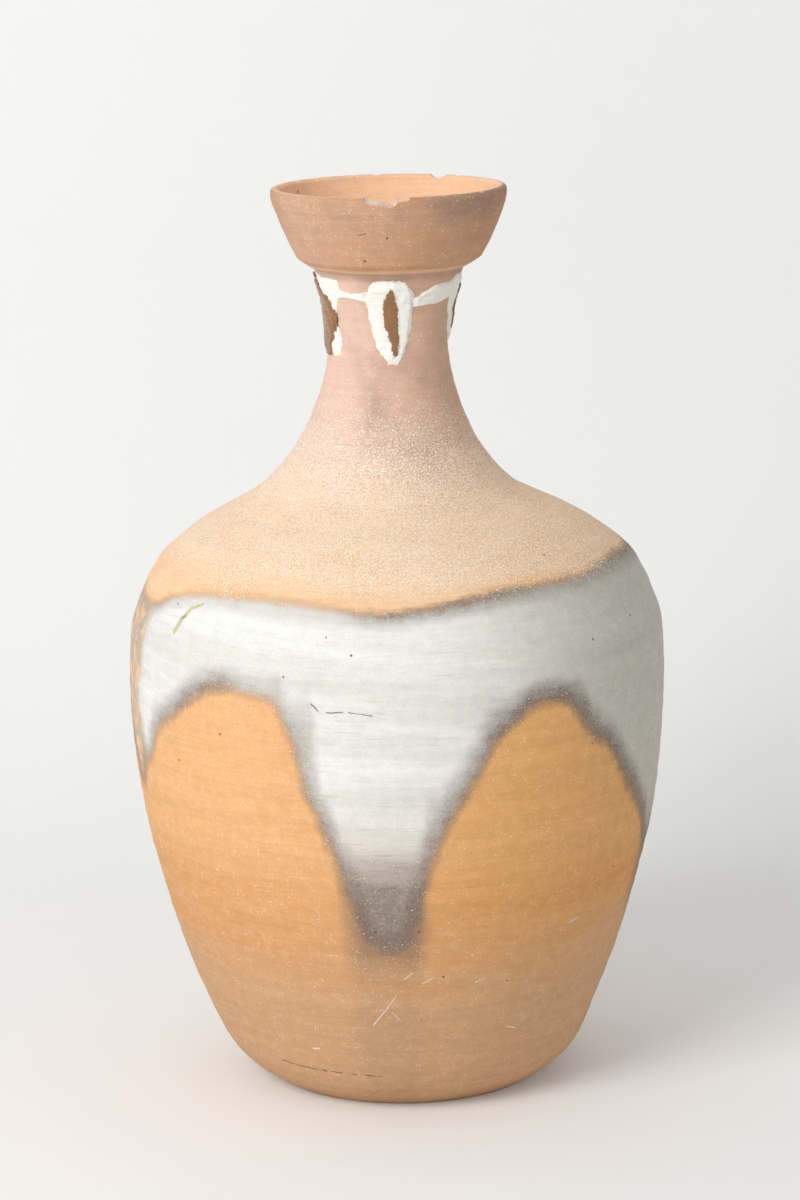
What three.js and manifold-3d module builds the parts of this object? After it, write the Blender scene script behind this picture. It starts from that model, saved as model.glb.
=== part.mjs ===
import * as THREE from "three";
import { mergeVertices } from "three/addons/utils/BufferGeometryUtils.js";
import Module from "manifold-3d";

// Rice wine vase of unglazed fired clay, thrown in six sections that are luted together, with the
// lime putty and resin that are left on its neck where four small lugs have broken off.
// Millimetres, +Z up, origin at the centre of the foot's underside. The front faces -Y, and an angle
// round the vase is in degrees from the front, growing towards +X.

// Rise of each station of the outline above the one below it, from the floor to the crest of the lip
const slabThickness = 14;
const kneeRise = 22;
const lowWallRise = 64;
const highWallRise = 50;
const bellyRise = 60;
const bellyJoinRise = 6;
const shoulderTurnRise = 34;
const shoulderSlopeRise = 26;
const neckFootRise = 25;
const neckFlareRise = 25;
const neckShaftRise = 26;
const waistRise = 23;
const creaseRise = 35;
const keelRise = 5.4;
const cupSideRise = 14.6;
const rimRise = 16;
const lipRise = 4;

// Outer radii: the belly, how far the wall is drawn in from it at the other stations of the body, the
// waist of the neck, and how far the clay stands out from one station to the next above it
const bellyRadius = 134.2;
const highWallInset = 3.8;
const lowWallInset = 14.9;
const kneeInset = 36.5;
const slabInset = 48.2;
const footInset = 66.6;
const shoulderTurnInset = 7.2;
const shoulderSlopeInset = 27.2;
const waistRadius = 29.4;
const neckShaftFlare = 3.5;
const neckMiddleFlare = 14.1;
const neckFootFlare = 34.6;
const creaseFlare = 7.5;
const keelOverhang = 8.7;
const cupSideFlare = 7;
const rimFlare = 5.6;

// Clay
const wall = 7;
const lipThickness = 4.6;
const cupFloorThickness = 7.5;
const throatRadius = 28.5;
const throatRise = 3;
const throatBevel = 4;
const cupFootRound = 3;
const sideBulge = 0.4;
const sideBulgeDrop = 3;
const facets = 48;

// Broken places on the lip, from the lip's crest downwards
const frontChip = { angle: -2.4, width: 21, depth: 4.2, reach: 7 };
const backChip = { angle: 153, width: 8.5, depth: 2.4, reach: 5 };
const chipInset = 1;

// Putty and resin
const clearance = 0.3;
const puttyThickness = 1.5;
const puttyEdge = 0.5;
const resinThickness = 1.1;
const resinEdge = 0.4;
const scarLength = 44;

const clayColour = { foot: 0xb9865f, wall: 0xd29a62, shoulder: 0xe0b691, neck: 0xd9ae8c, cup: 0xc8946c };
const puttyColour = 0xf1efe4;
const resinColour = 0x4a230f;

// Heights of the stations above the floor
const kneeHeight = slabThickness + kneeRise;
const lowWallHeight = kneeHeight + lowWallRise;
const highWallHeight = lowWallHeight + highWallRise;
const bellyHeight = highWallHeight + bellyRise;
const bellyJoinHeight = bellyHeight + bellyJoinRise;
const shoulderTurnHeight = bellyJoinHeight + shoulderTurnRise;
const shoulderSlopeHeight = shoulderTurnHeight + shoulderSlopeRise;
const neckFootHeight = shoulderSlopeHeight + neckFootRise;
const neckFlareHeight = neckFootHeight + neckFlareRise;
const neckShaftHeight = neckFlareHeight + neckShaftRise;
const waistHeight = neckShaftHeight + waistRise;
const creaseHeight = waistHeight + creaseRise;
const keelHeight = creaseHeight + keelRise;
const cupSideHeight = keelHeight + cupSideRise;
const rimHeight = cupSideHeight + rimRise;
const lipHeight = rimHeight + lipRise;

const creaseRadius = waistRadius + creaseFlare;
const keelRadius = creaseRadius + keelOverhang;
const cupSideRadius = keelRadius + cupSideFlare;
const rimRadius = cupSideRadius + rimFlare;

const wasm = await Module();
wasm.setup();

// Monotone cubic through [height, radius] stations, so the profile never bulges between two of them
function smoothProfile(stations) {
  const last = stations.length - 1;
  const step = (i) => (stations[i + 1][1] - stations[i][1]) / (stations[i + 1][0] - stations[i][0]);
  const tangents = stations.map((station, i) => {
    if (i === 0) return step(0);
    if (i === last) return step(last - 1);
    const before = step(i - 1);
    const after = step(i);
    return before * after <= 0 ? 0 : (2 * before * after) / (before + after);
  });
  const spanOf = (z) => {
    let i = 0;
    while (i < last - 1 && z > stations[i + 1][0]) i += 1;
    const [z0, r0] = stations[i];
    const [z1, r1] = stations[i + 1];
    return { t: (z - z0) / (z1 - z0), length: z1 - z0, r0, r1, m0: tangents[i], m1: tangents[i + 1] };
  };
  return {
    radius(z) {
      const { t, length, r0, r1, m0, m1 } = spanOf(z);
      const eased = t * t * (3 - 2 * t);
      const leaving = t * (1 - t) * (1 - t) * length * m0;
      const arriving = t * t * (t - 1) * length * m1;
      return r0 + (r1 - r0) * eased + leaving + arriving;
    },
    slope(z) {
      const { t, length, r0, r1, m0, m1 } = spanOf(z);
      const chord = (6 * t * (1 - t) * (r1 - r0)) / length;
      return chord + (1 - t) * (1 - 3 * t) * m0 + t * (3 * t - 2) * m1;
    },
  };
}

const body = smoothProfile([
  [0, bellyRadius - footInset],
  [slabThickness, bellyRadius - slabInset],
  [kneeHeight, bellyRadius - kneeInset],
  [lowWallHeight, bellyRadius - lowWallInset],
  [highWallHeight, bellyRadius - highWallInset],
  [bellyHeight, bellyRadius],
  [shoulderTurnHeight, bellyRadius - shoulderTurnInset],
  [shoulderSlopeHeight, bellyRadius - shoulderSlopeInset],
  [neckFootHeight, waistRadius + neckFootFlare],
  [neckFlareHeight, waistRadius + neckMiddleFlare],
  [neckShaftHeight, waistRadius + neckShaftFlare],
  [waistHeight, waistRadius],
  [creaseHeight, creaseRadius],
]);

// The inside runs parallel to the outside, one wall thickness in, measured square to the clay
function innerRadius(z) {
  const slant = Math.sqrt(1 + body.slope(z) ** 2);
  return Math.min(body.radius(z) - wall * slant, z >= creaseHeight ? throatRadius : Infinity);
}

function clayMaterial(colour) {
  return new THREE.MeshStandardMaterial({ color: colour, roughness: 0.9, metalness: 0 });
}

const puttyMaterial = new THREE.MeshStandardMaterial({ color: puttyColour, roughness: 0.85, metalness: 0 });
const resinMaterial = new THREE.MeshStandardMaterial({ color: resinColour, roughness: 0.35, metalness: 0 });

// A section turned about the Z axis from [radius, height] points
function turned(points) {
  const profile = points.map(([radius, height]) => new THREE.Vector2(radius, height));
  return new THREE.LatheGeometry(profile, facets).rotateX(Math.PI / 2);
}

function heights(from, to, steps) {
  return Array.from({ length: steps + 1 }, (unused, i) => from + ((to - from) * i) / steps);
}

// A ring of the thrown wall between two luted joins, closed on itself
function clayRing(from, to, outerSteps, innerSteps) {
  const outside = heights(from, to, outerSteps).map((z) => [body.radius(z), z]);
  const inside = heights(to, from, innerSteps).map((z) => [innerRadius(z), z]);
  return turned([...outside, ...inside, outside[0]]);
}

function footSlab() {
  const edge = heights(0, slabThickness, 4).map((z) => [body.radius(z), z]);
  return turned([[0, 0], ...edge, [0, slabThickness]]);
}

// The cup stands on the neck's top face: keel, flaring side, rounded lip, inside and throat
function cupMouth() {
  const lipRadius = lipThickness / 2;
  const lipCentre = rimRadius - lipRadius;
  const lipBase = lipHeight - lipRadius;
  const lip = heights(0, 180, 6).map((angle) => {
    const turn = THREE.MathUtils.degToRad(angle);
    return [lipCentre + lipRadius * Math.cos(turn), lipBase + lipRadius * Math.sin(turn)];
  });
  return turned([
    [creaseRadius, creaseHeight],
    [keelRadius, keelHeight],
    [cupSideRadius, cupSideHeight],
    [rimRadius - sideBulge, rimHeight - sideBulgeDrop],
    ...lip,
    [cupSideRadius - lipThickness, cupSideHeight],
    [keelRadius - wall, keelHeight + cupFloorThickness - cupFootRound],
    [throatRadius + throatBevel, creaseHeight + cupFloorThickness],
    [throatRadius, creaseHeight + throatRise],
    [innerRadius(creaseHeight), creaseHeight],
    [creaseRadius, creaseHeight],
  ]);
}

function solidOf(geometry) {
  const plain = geometry.clone();
  plain.deleteAttribute("normal");
  plain.deleteAttribute("uv");
  const merged = mergeVertices(plain, 1e-4);
  const vertProperties = new Float32Array(merged.attributes.position.array);
  const triVerts = new Uint32Array(merged.index.array);
  return new wasm.Manifold(new wasm.Mesh({ numProp: 3, vertProperties, triVerts }));
}

function geometryOf(solid) {
  const mesh = solid.getMesh();
  const geometry = new THREE.BufferGeometry();
  geometry.setAttribute("position", new THREE.BufferAttribute(mesh.vertProperties, 3));
  geometry.setIndex(new THREE.BufferAttribute(mesh.triVerts, 1));
  geometry.computeVertexNormals();
  return geometry;
}

// A conchoidal chip: a blunt, faceted lump that bites into the lip's outer edge
function chipCutter({ angle, width, depth, reach }) {
  const turn = THREE.MathUtils.degToRad(angle);
  const lump = new THREE.IcosahedronGeometry(1, 1).scale(width / 2, reach, depth);
  lump.translate(0, -(rimRadius - chipInset), lipHeight);
  return lump.rotateZ(turn);
}

function chippedCup() {
  const whole = solidOf(cupMouth());
  return geometryOf(whole.subtract(solidOf(chipCutter(frontChip))).subtract(solidOf(chipCutter(backChip))));
}

function pointOnNeck(angle, z, offset) {
  const turn = THREE.MathUtils.degToRad(angle);
  const radius = body.radius(z) + offset;
  return [radius * Math.sin(turn), -radius * Math.cos(turn), z];
}

// A thin closed skin on the neck. place(s, t) gives the angle and height of each grid point, and the
// skin's face stands off the clay by base inside and by base + thickness outside, less at its edge.
function skin({ columns, rows, place, base, thickness, edge }) {
  const positions = [];
  const index = [];
  const stride = columns + 1;
  const layer = stride * (rows + 1);
  for (const outside of [true, false]) {
    for (let j = 0; j <= rows; j += 1) {
      for (let i = 0; i <= columns; i += 1) {
        const onEdge = i === 0 || j === 0 || i === columns || j === rows;
        const [angle, z] = place(i / columns, j / rows);
        const rise = onEdge ? edge : thickness;
        positions.push(...pointOnNeck(angle, z, base + (outside ? rise : 0)));
      }
    }
  }
  for (let j = 0; j < rows; j += 1) {
    for (let i = 0; i < columns; i += 1) {
      const a = j * stride + i;
      const b = a + 1;
      const c = b + stride;
      const d = a + stride;
      index.push(a, b, c, a, c, d);
      index.push(layer + a, layer + c, layer + b, layer + a, layer + d, layer + c);
    }
  }
  const rim = [];
  for (let i = 0; i < columns; i += 1) rim.push(i);
  for (let j = 0; j < rows; j += 1) rim.push(j * stride + columns);
  for (let i = columns; i > 0; i -= 1) rim.push(rows * stride + i);
  for (let j = rows; j > 0; j -= 1) rim.push(j * stride);
  rim.forEach((p, k) => {
    const q = rim[(k + 1) % rim.length];
    index.push(p, layer + p, layer + q, p, layer + q, q);
  });
  const geometry = new THREE.BufferGeometry();
  geometry.setAttribute("position", new THREE.Float32BufferAttribute(positions, 3));
  geometry.setIndex(index);
  geometry.computeVertexNormals();
  return geometry;
}

// Edges of the putty and resin from top to bottom: [drop below the crease as a share of the scar's
// length, angle]
const puttyShapes = {
  front: {
    left: [[0.06, -14], [0.25, -22.5], [0.59, -17], [0.82, -11.5], [1, 0]],
    right: [[0.06, 8], [0.2, 21.5], [0.45, 23.5], [0.75, 19.5], [1, 8]],
  },
  right: {
    left: [[0.06, 66], [0.3, 65.5], [0.45, 70], [0.73, 79], [0.86, 86]],
    right: [[0.06, 101], [0.27, 108], [0.55, 108], [0.75, 102], [0.86, 95]],
  },
  back: {
    left: [[0.06, 168], [0.25, 159], [0.55, 161], [0.77, 167], [0.95, 174]],
    right: [[0.06, 192], [0.23, 201], [0.48, 202], [0.77, 196], [0.95, 184]],
  },
  left: {
    left: [[0.06, 262], [0.23, 252], [0.55, 250], [0.77, 256], [0.94, 266]],
    right: [[0.06, 314], [0.2, 316.5], [0.45, 311], [0.75, 310], [0.94, 305]],
  },
};
const resinShapes = {
  front: {
    left: [[0.11, -3], [0.34, -6], [0.55, -4], [0.8, 1.5], [0.91, 4]],
    right: [[0.11, 5], [0.34, 8.5], [0.55, 9], [0.8, 9.5], [0.91, 8]],
  },
  right: {
    left: [[0.16, 86], [0.36, 84], [0.57, 86], [0.75, 91]],
    right: [[0.16, 97], [0.36, 101], [0.57, 101], [0.75, 95]],
  },
  back: {
    left: [[0.16, 176], [0.36, 173], [0.59, 175], [0.82, 179]],
    right: [[0.16, 184], [0.36, 187], [0.59, 187], [0.82, 183]],
  },
  left: {
    left: [[0.11, 270], [0.34, 262], [0.59, 262], [0.86, 274]],
    right: [[0.11, 286], [0.32, 302], [0.55, 306.5], [0.86, 295]],
  },
};
// Runs of putty smeared from one lug scar to the next: [upper, lower] drop at the start, middle, end,
// as shares of the scar's length
const strandShapes = {
  front_to_right: { from: "front", to: "right", upper: [0.28, 0.14, 0.09], lower: [0.37, 0.37, 0.31] },
  right_to_back: { from: "right", to: "back", upper: [0.2, 0.16, 0.23], lower: [0.32, 0.28, 0.34] },
  back_to_left: { from: "back", to: "left", upper: [0.23, 0.19, 0.18], lower: [0.34, 0.3, 0.31] },
  left_to_front: { from: "left", to: "front", upper: [0.18, 0.19, 0.19], lower: [0.3, 0.3, 0.3] },
};

function along(points, value) {
  let i = 0;
  while (i < points.length - 2 && value > points[i + 1][0]) i += 1;
  const [from, atFrom] = points[i];
  const [to, atTo] = points[i + 1];
  return THREE.MathUtils.mapLinear(value, from, to, atFrom, atTo);
}

function heightOfDrop(drop) {
  return creaseHeight - drop * scarLength;
}

function patch({ left, right }, { columns, rows, base, thickness, edge }) {
  const top = left[0][0];
  const bottom = left[left.length - 1][0];
  const place = (s, t) => {
    const drop = THREE.MathUtils.lerp(bottom, top, t);
    const angle = THREE.MathUtils.lerp(along(left, drop), along(right, drop), s);
    return [angle, heightOfDrop(drop)];
  };
  return skin({ columns, rows, place, base, thickness, edge });
}

function strand({ from, to, upper, lower }) {
  const gapAngle = THREE.MathUtils.radToDeg(clearance / waistRadius);
  const turnsPast = puttyShapes[to].left[0][1] < puttyShapes[from].right[0][1] ? 360 : 0;
  const atEndsAndMiddle = (drops) => drops.map((drop, i) => [i / 2, drop]);
  const place = (s, t) => {
    const drop = THREE.MathUtils.lerp(along(atEndsAndMiddle(lower), s), along(atEndsAndMiddle(upper), s), t);
    const start = along(puttyShapes[from].right, drop) + gapAngle;
    const end = along(puttyShapes[to].left, drop) + turnsPast - gapAngle;
    return [THREE.MathUtils.lerp(start, end, s), heightOfDrop(drop)];
  };
  return skin({ columns: 8, rows: 3, place, base: clearance, thickness: puttyThickness, edge: puttyEdge });
}

const putty = { columns: 8, rows: 8, base: clearance, thickness: puttyThickness, edge: puttyEdge };
const resinBase = clearance + puttyThickness + clearance;
const resin = { columns: 4, rows: 8, base: resinBase, thickness: resinThickness, edge: resinEdge };

const vase = new THREE.Group();

function addPiece(name, geometry, material) {
  const piece = new THREE.Mesh(geometry, material);
  piece.name = name;
  vase.add(piece);
}

addPiece("foot_slab", footSlab(), clayMaterial(clayColour.foot));
addPiece("foot_wall", clayRing(slabThickness, kneeHeight, 4, 3), clayMaterial(clayColour.foot));
addPiece("belly_wall", clayRing(kneeHeight, bellyJoinHeight, 12, 8), clayMaterial(clayColour.wall));
addPiece("shoulder", clayRing(bellyJoinHeight, neckFootHeight, 14, 10), clayMaterial(clayColour.shoulder));
addPiece("neck", clayRing(neckFootHeight, creaseHeight, 18, 9), clayMaterial(clayColour.neck));
addPiece("cup_mouth", chippedCup(), clayMaterial(clayColour.cup));

for (const [side, shape] of Object.entries(puttyShapes)) {
  addPiece(`putty_patch_${side}`, patch(shape, putty), puttyMaterial.clone());
}
for (const [run, shape] of Object.entries(strandShapes)) {
  addPiece(`putty_strand_${run}`, strand(shape), puttyMaterial.clone());
}
for (const [side, shape] of Object.entries(resinShapes)) {
  addPiece(`resin_streak_${side}`, patch(shape, resin), resinMaterial.clone());
}

export default vase;
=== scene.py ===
import math

import bmesh
import bpy
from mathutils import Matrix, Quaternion, Vector, noise


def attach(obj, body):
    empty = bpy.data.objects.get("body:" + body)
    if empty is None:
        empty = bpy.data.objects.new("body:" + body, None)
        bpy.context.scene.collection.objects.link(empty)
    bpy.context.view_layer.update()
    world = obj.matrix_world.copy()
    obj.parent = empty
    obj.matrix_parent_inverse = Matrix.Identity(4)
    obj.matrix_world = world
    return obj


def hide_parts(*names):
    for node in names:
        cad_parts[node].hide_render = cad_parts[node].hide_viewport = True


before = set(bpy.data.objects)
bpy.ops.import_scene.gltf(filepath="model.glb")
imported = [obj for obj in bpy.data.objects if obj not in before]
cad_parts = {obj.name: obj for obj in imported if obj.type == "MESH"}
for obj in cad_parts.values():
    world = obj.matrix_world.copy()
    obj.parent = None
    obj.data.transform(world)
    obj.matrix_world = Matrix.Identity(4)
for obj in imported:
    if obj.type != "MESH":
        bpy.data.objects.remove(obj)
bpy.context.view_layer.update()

bl_info = {
    "name": "Fired Clay Wine Vase",
    "version": (1, 1, 0),
    "blender": (4, 5, 0),
    "location": "View3D > Sidebar > Clay Vase",
    "description": "Throws, fires and mends an unglazed clay wine vase",
    "category": "Add Mesh",
}

MM = 0.001
FRONT = 180.0

# The turned outline of the clay: height above the floor and radius, in millimetres
OUTLINE = [
    (0, 67.6), (6, 77.0), (14, 86.0), (24, 92.5), (36, 97.7), (65, 108.9), (100, 119.3), (142, 129.0),
    (180, 133.2), (210, 134.2), (232, 132.9), (250, 127.0), (264, 119.8), (276, 107.0), (286, 91.8),
    (294, 75.8), (301, 64.0), (316, 50.0), (326, 43.5), (338, 37.7), (352, 32.9), (366, 30.0),
    (375, 29.4), (392, 30.9), (403, 34.2), (410, 36.9),
]
# How far the hand-thrown axis strays to the right at a height, in millimetres
LEAN = [
    (0, 2.0), (40, 0.4), (180, 0.2), (236, 0.6), (262, 0.6), (286, -0.9), (303, -2.7), (330, -2.0),
    (353, -1.2), (380, -0.8), (410, 0.2), (430, 0.6), (450, 0.3),
]
CUP_SIDE = [(415.4, 45.6), (418, 46.9), (423, 49.6), (430, 52.7), (438, 55.8), (445, 58.0), (450, 58.2)]
CREASE = 410.0
LIP = 450.0
RIM_RADIUS = 58.1
# Faces of the clay and of the skins are shaded smooth below these angles, in degrees
CLAY_CREASE = 35
SKIN_CREASE = 60
# Height of one ring of faces inside the vase, and height below which the foot stays true
INSIDE_PITCH = 5.0
TRUE_FOOT = 5.0
# Rings of faces under the foot
UNDERSIDE = (0.0, 20.0, 42.0, 58.0)
# Sections between luted joins: lowest and highest height
SECTIONS = {
    "foot_slab": (0.0, 14.0),
    "foot_wall": (14.0, 36.0),
    "belly_wall": (36.0, 216.0),
    "shoulder": (216.0, 301.0),
    "neck": (301.0, 410.0),
}


def display(red, green, blue):
    """A display colour from 0 to 255 as a linear shader colour."""
    shares = [part / 255 for part in (red, green, blue)]
    return tuple(s / 12.92 if s <= 0.04045 else ((s + 0.055) / 1.055) ** 2.4 for s in shares)


def tone(name, description, *colour):
    """A colour that a user can change."""
    return bpy.props.FloatVectorProperty(
        name=name, description=description, default=display(*colour), subtype="COLOR", min=0.0, max=1.0)


def length(name, description, millimetres):
    """A length that a user can change, kept in metres."""
    return bpy.props.FloatProperty(
        name=name, description=description, default=millimetres * MM, unit="LENGTH", min=0.0)


class ThrowingSizes(bpy.types.PropertyGroup):
    """Sizes of the thrown clay."""
    ring_pitch: length("Ring pitch", "Height of one ring of faces on the outside", 1.3)
    facets: bpy.props.IntProperty(name="Facets", description="Faces round the vase", default=240, min=24)
    wall: length("Wall", "Thickness of the thrown wall", 7.0)
    lip: length("Lip", "Thickness of the lip of the cup", 4.6)
    ridge: length("Ridges", "Depth of the ridges that the fingers left", 0.32)
    swell: length("Swell", "How far the wall strays from round as it dries", 0.7)


class ClayTones(bpy.types.PropertyGroup):
    """Colours of the fired clay, some of them painted light and painted shade."""
    foot: tone("Foot", "Clay near the foot, where the ash lay", 206, 162, 122)
    orange_left: tone("Flame, left", "Clay where the flame licked, on the left", 234, 179, 124)
    # Flame, right is a slightly darker copy of the left orange: painted shade on the right side, and also the
    # warm patches on the shoulder
    orange_right: tone("Flame, right", "Clay where the flame licked, on the right", 226, 170, 106)
    deep: tone("Strokes", "Deeper strokes of the flame", 214, 148, 84)
    shoulder: tone("Shoulder", "Pale peach clay on the shoulder", 240, 201, 162)
    neck: tone("Neck", "Clay of the neck", 226, 193, 174)
    cup: tone("Cup", "Clay of the cup", 190, 142, 105)
    # The inside colour is painted light: the inner wall drawn lighter where it faces the lamp
    inside: tone("Inside", "Clay inside the cup", 240, 198, 162)
    ash: tone("Ash grey", "Grey band that the flame missed", 236, 235, 231)
    # The side grey is darker: painted shade on the right side of the band, and also random grey bands
    ash_tone_and_shade: tone("Ash grey, side", "Greener grey on the right side", 196, 193, 180)
    ash_low: tone("Ash grey, low", "Warm grey at the points of the band", 216, 197, 180)
    sand: tone("Sand", "Sandy edge of the grey band", 190, 168, 142)
    smoke: tone("Smoke", "Smoky halo round the flame marks", 122, 104, 94)
    # The smudge colour also paints shade: in the crease under the cup and under the lip away from the left
    smudge_and_shade: tone("Smudge", "Purple smoke on the neck and the cup", 158, 128, 114)
    grit: tone("Grit", "White grit in the clay", 250, 240, 222)
    pit: tone("Pits", "Burnt pits in the clay", 74, 56, 46)
    ash_run: tone("Ash run", "Run of kiln ash on the left shoulder", 196, 188, 122)
    ash_core: tone("Ash run, core", "Dark bar across the run of ash", 128, 112, 52)
    broken: tone("Broken clay", "Fresh clay inside the chips", 232, 204, 178)


class MendTones(bpy.types.PropertyGroup):
    """Sizes and colours of the putty and the resin."""
    putty_depth: length("Putty", "Thickness of the putty", 1.4)
    resin_depth: length("Resin", "Thickness of the resin", 1.1)
    putty: tone("Putty", "Dry lime putty", 246, 246, 238)
    putty_shade: tone("Putty, hollow", "Lime putty where the knife left hollows", 232, 228, 212)
    stain: tone("Stain", "Putty that the resin has bled into", 214, 172, 96)
    resin: tone("Resin", "Thick dark resin", 56, 28, 18)
    resin_thin: tone("Resin, thin", "Thin brown resin", 122, 76, 46)
    amber: tone("Amber", "Thin edge of the resin", 196, 128, 56)
    crust: tone("Crust", "Pale crust on the resin", 226, 204, 166)


class StudioSizes(bpy.types.PropertyGroup):
    """Floor, lamps and camera."""
    floor: tone("Floor", "Colour of the plain floor and backdrop", 235, 235, 234)
    glow: bpy.props.FloatProperty(
        name="Glow", description="How much lighter the camera sees the backdrop", default=0.1, min=0.0)
    sky: bpy.props.FloatProperty(name="Sky", description="Strength of the soft light all round", default=0.5)
    key: bpy.props.FloatProperty(name="Key", description="Power of the lamp on the left", default=41.0,
                                 unit="POWER")
    fill: bpy.props.FloatProperty(name="Fill", description="Power of the lamp on the right", default=3.0,
                                  unit="POWER")
    lens: bpy.props.FloatProperty(name="Lens", description="Focal length of the camera in millimetres",
                                  default=118.8)
    distance: length("Distance", "Camera to the axis of the vase", 1944.0)
    height: length("Height", "Camera above the floor", 654.0)
    pitch: bpy.props.FloatProperty(name="Pitch", description="How far the camera looks down", subtype="ANGLE",
                                   default=math.radians(11.97))
    yaw: bpy.props.FloatProperty(name="Yaw", description="How far the camera looks to the right",
                                 subtype="ANGLE", default=math.radians(0.072))
    roll: bpy.props.FloatProperty(name="Roll", description="How far the camera leans over", subtype="ANGLE",
                                  default=math.radians(1.05))


class VaseSettings(bpy.types.PropertyGroup):
    """All that a user would change on the vase."""
    throwing: bpy.props.PointerProperty(type=ThrowingSizes, name="Throwing", description="Sizes of the clay")
    clay: bpy.props.PointerProperty(type=ClayTones, name="Clay", description="Colours of the clay")
    mend: bpy.props.PointerProperty(type=MendTones, name="Mend", description="Putty and resin")
    studio: bpy.props.PointerProperty(type=StudioSizes, name="Studio", description="Floor, lamps, camera")


def smooth_step(low, high, value):
    t = min(1.0, max(0.0, (value - low) / (high - low)))
    return t * t * (3 - 2 * t)


class Profile:
    """Monotone cubic through (height, value) stations."""

    def __init__(self, stations):
        self.stations = stations
        steps = [(b[1] - a[1]) / (b[0] - a[0]) for a, b in zip(stations, stations[1:])]
        inner = [2 * a * b / (a + b) if a * b > 0 else 0.0 for a, b in zip(steps, steps[1:])]
        self.tangents = [steps[0]] + inner + [steps[-1]]

    def at(self, z):
        last = len(self.stations) - 2
        i = 0
        while i < last and z > self.stations[i + 1][0]:
            i += 1
        (z0, r0), (z1, r1) = self.stations[i], self.stations[i + 1]
        span = z1 - z0
        t = min(1.0, max(0.0, (z - z0) / span))
        eased = t * t * (3 - 2 * t)
        leaving = t * (1 - t) * (1 - t) * span * self.tangents[i]
        arriving = t * t * (t - 1) * span * self.tangents[i + 1]
        return r0 + (r1 - r0) * eased + leaving + arriving

    def slope(self, z):
        return (self.at(z + 0.25) - self.at(z - 0.25)) / 0.5


BODY = Profile(OUTLINE)
AXIS = Profile(LEAN)
CUP = Profile(CUP_SIDE)


def throwing_relief(sizes, angle, z):
    """Ridges that the fingers left while the clay turned, and slow swells from drying, in metres."""
    turn = math.radians(angle)
    across, along = math.cos(turn), math.sin(turn)
    climb = z + 1.6 * math.sin(turn + 0.4)
    ridges = noise.noise(Vector((0.8 * across, 0.8 * along, climb * 0.16)))
    fine = noise.noise(Vector((2.0 * across, 2.0 * along, climb * 0.55 + 40)))
    swell = noise.noise(Vector((1.3 * across + 7, 1.3 * along, z * 0.012)))
    return sizes.ridge * (ridges + 0.4 * fine) + sizes.swell * swell


def clay_point(sizes, radius, angle, z, relief=1.0):
    """A point of the finished clay in metres, front at -Y, from millimetres and degrees."""
    turn = math.radians(angle)
    r = radius * MM + relief * throwing_relief(sizes, angle, z)
    return Vector((r * math.sin(turn) + AXIS.at(z) * MM, -r * math.cos(turn), z * MM))


def inner_radius(z, wall):
    return BODY.at(z) - wall * math.sqrt(1 + BODY.slope(z) ** 2)


class Socket:
    """A shader socket that takes part in Python expressions."""

    def __init__(self, tree, output):
        self.tree = tree
        self.output = output

    def _math(self, operation, *values):
        return self.tree.node("ShaderNodeMath", {"operation": operation}, dict(enumerate(values)))

    def __add__(self, other):
        return self._math("ADD", self, other)

    def __radd__(self, other):
        return self._math("ADD", other, self)

    def __sub__(self, other):
        return self._math("SUBTRACT", self, other)

    def __rsub__(self, other):
        return self._math("SUBTRACT", other, self)

    def __mul__(self, other):
        return self._math("MULTIPLY", self, other)

    def __rmul__(self, other):
        return self._math("MULTIPLY", other, self)

    def __truediv__(self, other):
        return self._math("DIVIDE", self, other)

    def __rtruediv__(self, other):
        return self._math("DIVIDE", other, self)

    def __neg__(self):
        return self._math("MULTIPLY", self, -1.0)

    def lowest(self, other):
        return self._math("MINIMUM", self, other)

    def highest(self, other):
        return self._math("MAXIMUM", self, other)

    def root(self):
        return self._math("SQRT", self)

    def size(self):
        return self._math("ABSOLUTE", self)

    def other(self, name):
        """Another output of the same node."""
        return Socket(self.tree, self.output.node.outputs[name])


# Where a Mix node keeps its two colours and the colour that it gives
MIX_FIRST = 6
MIX_SECOND = 7
MIX_RESULT = 2


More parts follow.
